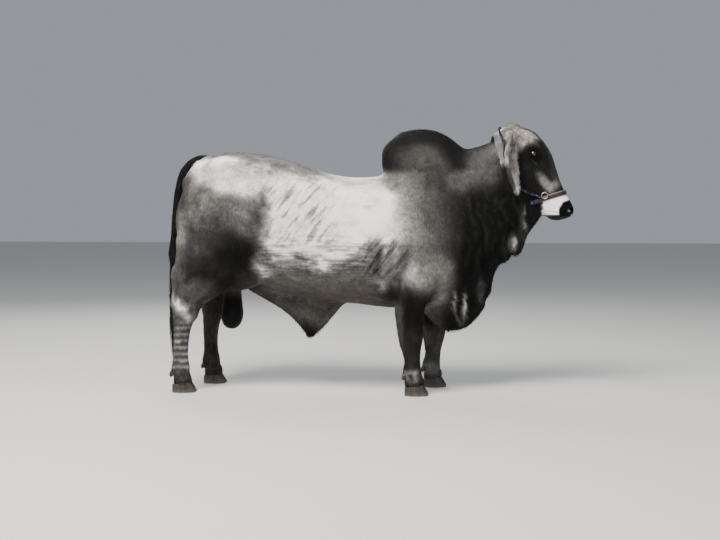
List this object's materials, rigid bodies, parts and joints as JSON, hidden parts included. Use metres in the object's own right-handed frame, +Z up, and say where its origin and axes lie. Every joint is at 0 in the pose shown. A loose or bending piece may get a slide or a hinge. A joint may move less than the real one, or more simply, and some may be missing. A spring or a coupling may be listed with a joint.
{
  "type": "standing brahman bull",
  "caption": "Life-size still model of a standing grey humped bull with hanging ears, deep dewlap, sheath, tail brush and a worn rope halter.",
  "frame": {"origin": "on the ground, under the middle of the whole animal's box", "axes": "+X towards the head, +Y towards the animal's left, +Z up"},
  "size_m": [2.6042, 0.7394, 1.6998],
  "materials": {
    "light_coat": "short pale grey hair over loose skin",
    "grey_coat": "short mid grey hair",
    "dark_coat": "short near-black hair",
    "ear_skin": "fine pale hair on a thin ear",
    "bare_skin": "thinly haired dark skin",
    "switch_hair": "long black hair in locks",
    "horn": "dark hoof horn, worn",
    "eye": "wet and dark",
    "halter_strap": "dark red-brown, worn",
    "halter_rope": "navy with pale flecks",
    "ring_metal": "dull"
  },
  "bodies": {
    "root": {"dewclaw_fore_left_inner": "horn", "dewclaw_fore_left_outer": "horn", "dewclaw_fore_right_inner": "horn", "dewclaw_fore_right_outer": "horn", "dewclaw_hind_left_inner": "horn", "dewclaw_hind_left_outer": "horn", "dewclaw_hind_right_inner": "horn", "dewclaw_hind_right_outer": "horn", "dewlap": "dark_coat", "ear_left": "ear_skin", "ear_right": "ear_skin", "eye_left": "eye", "eye_right": "eye", "foreleg_left": "dark_coat", "foreleg_left_lower": "grey_coat", "foreleg_right": "dark_coat", "foreleg_right_lower": "grey_coat", "halter_noseband": "halter_strap", "halter_ring_left": "ring_metal", "halter_ring_right": "ring_metal", "halter_rope": "halter_rope", "head": "grey_coat", "hindleg_left": "dark_coat", "hindleg_left_lower": "grey_coat", "hindleg_right": "dark_coat", "hindleg_right_lower": "grey_coat", "hoof_fore_left_inner": "horn", "hoof_fore_left_outer": "horn", "hoof_fore_right_inner": "horn", "hoof_fore_right_outer": "horn", "hoof_hind_left_inner": "horn", "hoof_hind_left_outer": "horn", "hoof_hind_right_inner": "horn", "hoof_hind_right_outer": "horn", "hump": "grey_coat", "neck": "dark_coat", "scrotum": "bare_skin", "sheath": "bare_skin", "tail": "dark_coat", "tail_switch": "switch_hair", "torso": "light_coat"}
  },
  "joints": []
}
